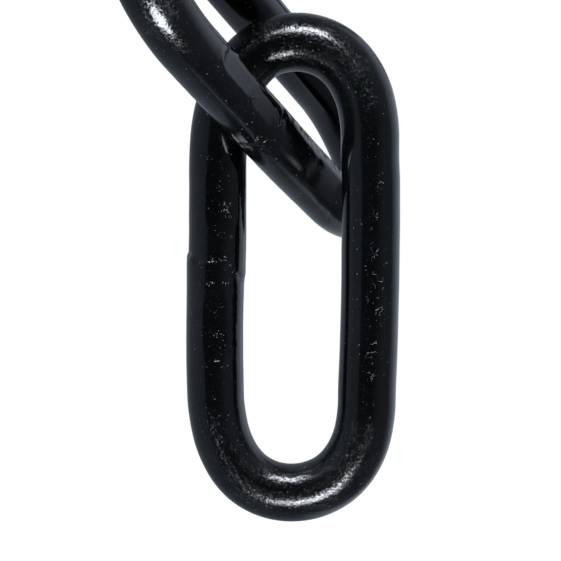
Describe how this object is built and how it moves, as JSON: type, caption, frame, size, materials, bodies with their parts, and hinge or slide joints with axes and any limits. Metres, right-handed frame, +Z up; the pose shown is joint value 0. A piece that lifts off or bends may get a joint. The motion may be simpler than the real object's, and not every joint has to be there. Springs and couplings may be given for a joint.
{
  "type": "long-link steel chain",
  "caption": "Length of black painted welded steel chain with long oval links, lying in a loose coil with its end drawn out.",
  "frame": {"origin": "on the floor, under the middle of the whole chain's outline", "axes": "+Z up; +Y the way the coil lies from the drawn-out end link, along the arrangement's longest side"},
  "size_m": [0.242, 0.2928, 0.0216],
  "materials": {
    "black_paint": "gloss"
  },
  "bodies": {
    "link_01": {"link_01": "black_paint"},
    "link_02": {"link_02": "black_paint"},
    "link_03": {"link_03": "black_paint"},
    "link_04": {"link_04": "black_paint"},
    "link_05": {"link_05": "black_paint"},
    "link_06": {"link_06": "black_paint"},
    "link_07": {"link_07": "black_paint"},
    "link_08": {"link_08": "black_paint"},
    "link_09": {"link_09": "black_paint"},
    "link_10": {"link_10": "black_paint"},
    "link_11": {"link_11": "black_paint"},
    "link_12": {"link_12": "black_paint"},
    "link_13": {"link_13": "black_paint"},
    "link_14": {"link_14": "black_paint"},
    "link_15": {"link_15": "black_paint"},
    "link_16": {"link_16": "black_paint"},
    "link_17": {"link_17": "black_paint"},
    "link_18": {"link_18": "black_paint"},
    "link_19": {"link_19": "black_paint"},
    "link_20": {"link_20": "black_paint"},
    "link_21": {"link_21": "black_paint"},
    "link_22": {"link_22": "black_paint"},
    "link_23": {"link_23": "black_paint"},
    "link_24": {"link_24": "black_paint"}
  },
  "joints": [
    {"name": "swing_02", "type": "hinge", "parent": "link_01", "child": "link_02", "pos_m": [-0.06391, -0.107, 0.01103], "axis": [-0.8658, 0.478, 0.1478], "range_deg": [-20, 45]},
    {"name": "swing_03", "type": "hinge", "parent": "link_02", "child": "link_03", "pos_m": [-0.07917, -0.08964, 0.00995], "axis": [-0.504, -0.1638, -0.848], "range_deg": [-45, 35]},
    {"name": "swing_04", "type": "hinge", "parent": "link_03", "child": "link_04", "pos_m": [-0.09078, -0.0523, 0.0087], "axis": [-0.6441, -0.2919, 0.7071], "range_deg": [-30, 45]},
    {"name": "swing_05", "type": "hinge", "parent": "link_04", "child": "link_05", "pos_m": [-0.11059, -0.00858, 0.0087], "axis": [-0.6441, -0.2919, 0.7071], "range_deg": [-45, 45]},
    {"name": "swing_06", "type": "hinge", "parent": "link_05", "child": "link_06", "pos_m": [-0.1135, 0.03052, 0.0087], "axis": [-0.7028, -0.0777, -0.7071], "range_deg": [-45, 45]},
    {"name": "swing_07", "type": "hinge", "parent": "link_06", "child": "link_07", "pos_m": [-0.10394, 0.06853, 0.0087], "axis": [-0.6916, 0.1475, 0.7071], "range_deg": [-45, 45]},
    {"name": "swing_08", "type": "hinge", "parent": "link_07", "child": "link_08", "pos_m": [-0.08271, 0.10149, 0.0087], "axis": [-0.6082, 0.3607, -0.7071], "range_deg": [-45, 45]},
    {"name": "swing_09", "type": "hinge", "parent": "link_08", "child": "link_09", "pos_m": [-0.05191, 0.12575, 0.0087], "axis": [-0.4582, 0.5386, 0.7071], "range_deg": [-45, 45]},
    {"name": "swing_10", "type": "hinge", "parent": "link_09", "child": "link_10", "pos_m": [-0.01484, 0.13848, 0.0087], "axis": [-0.2549, 0.6596, -0.7071], "range_deg": [-45, 45]},
    {"name": "swing_11", "type": "hinge", "parent": "link_10", "child": "link_11", "pos_m": [0.02436, 0.13801, 0.0087], "axis": [-0.0191, 0.7068, 0.7071], "range_deg": [-45, 45]},
    {"name": "swing_12", "type": "hinge", "parent": "link_11", "child": "link_12", "pos_m": [0.06104, 0.12418, 0.0087], "axis": [0.2232, 0.671, -0.7071], "range_deg": [-45, 45]},
    {"name": "swing_13", "type": "hinge", "parent": "link_12", "child": "link_13", "pos_m": [0.09062, 0.09845, 0.0087], "axis": [0.4422, 0.5518, 0.7071], "range_deg": [-45, 45]},
    {"name": "swing_14", "type": "hinge", "parent": "link_13", "child": "link_14", "pos_m": [0.10917, 0.06391, 0.0087], "axis": [0.6087, 0.3598, -0.7071], "range_deg": [-45, 45]},
    {"name": "swing_15", "type": "hinge", "parent": "link_14", "child": "link_15", "pos_m": [0.11398, 0.025, 0.0087], "axis": [0.6975, 0.1163, 0.7071], "range_deg": [-45, 45]},
    {"name": "swing_16", "type": "hinge", "parent": "link_15", "child": "link_16", "pos_m": [0.10413, -0.01295, 0.0087], "axis": [0.6914, -0.1482, -0.7071], "range_deg": [-30, 45]},
    {"name": "swing_17", "type": "hinge", "parent": "link_16", "child": "link_17", "pos_m": [0.08073, -0.0444, 0.0087], "axis": [0.5853, -0.3968, 0.7071], "range_deg": [-45, 35]},
    {"name": "swing_18", "type": "hinge", "parent": "link_17", "child": "link_18", "pos_m": [0.04703, -0.06445, 0.0087], "axis": [0.3884, -0.5909, -0.7071], "range_deg": [-45, 45]},
    {"name": "swing_19", "type": "hinge", "parent": "link_18", "child": "link_19", "pos_m": [0.00817, -0.06964, 0.0087], "axis": [0.1257, -0.6958, 0.7071], "range_deg": [-45, 45]},
    {"name": "swing_20", "type": "hinge", "parent": "link_19", "child": "link_20", "pos_m": [-0.0295, -0.05875, 0.0087], "axis": [-0.1641, -0.6878, -0.7071], "range_deg": [-45, 45]},
    {"name": "swing_21", "type": "hinge", "parent": "link_20", "child": "link_21", "pos_m": [-0.05931, -0.03329, 0.0087], "axis": [-0.4325, -0.5594, 0.7071], "range_deg": [-45, 45]},
    {"name": "swing_22", "type": "hinge", "parent": "link_21", "child": "link_22", "pos_m": [-0.07555, 0.0024, 0.0087], "axis": [-0.6282, -0.3245, -0.7071], "range_deg": [-45, 45]},
    {"name": "swing_23", "type": "hinge", "parent": "link_22", "child": "link_23", "pos_m": [-0.07464, 0.04161, 0.0087], "axis": [-0.7068, -0.0199, 0.7071], "range_deg": [-45, 45]},
    {"name": "swing_24", "type": "hinge", "parent": "link_23", "child": "link_24", "pos_m": [-0.05626, 0.07625, 0.0087], "axis": [-0.6413, 0.2978, -0.7071], "range_deg": [-45, 45]}
  ]
}
